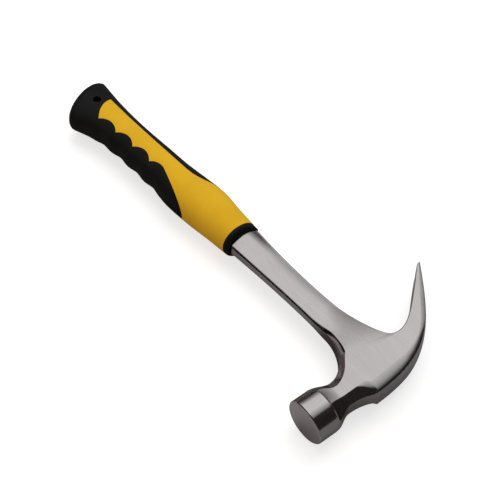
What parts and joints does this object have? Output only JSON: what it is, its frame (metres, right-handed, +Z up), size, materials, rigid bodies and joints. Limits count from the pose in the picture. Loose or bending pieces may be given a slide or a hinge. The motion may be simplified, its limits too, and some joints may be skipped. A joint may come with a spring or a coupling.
{
  "type": "claw hammer",
  "caption": "One-piece forged steel claw hammer with round poll, curved nail claw, flat-sided shank and a yellow and black moulded grip with finger scoops.",
  "frame": {"origin": "middle of the bounding box in plan, on the floor that the tool lies on", "axes": "+X along the handle to the head, -Y to the striking face, +Y to the claw, +Z up from the side it lies on"},
  "size_m": [0.329, 0.1292, 0.029],
  "materials": {
    "brushed_steel": "satin",
    "core_plastic": "matte",
    "yellow_plastic": "satin",
    "black_rubber": "matte",
    "collar_rubber": "matte"
  },
  "bodies": {
    "root": {"forged_head_and_shank": "brushed_steel", "grip_core": "core_plastic", "grip_sleeve": "yellow_plastic", "grip_overmould": "black_rubber", "front_collar": "collar_rubber"}
  },
  "joints": []
}
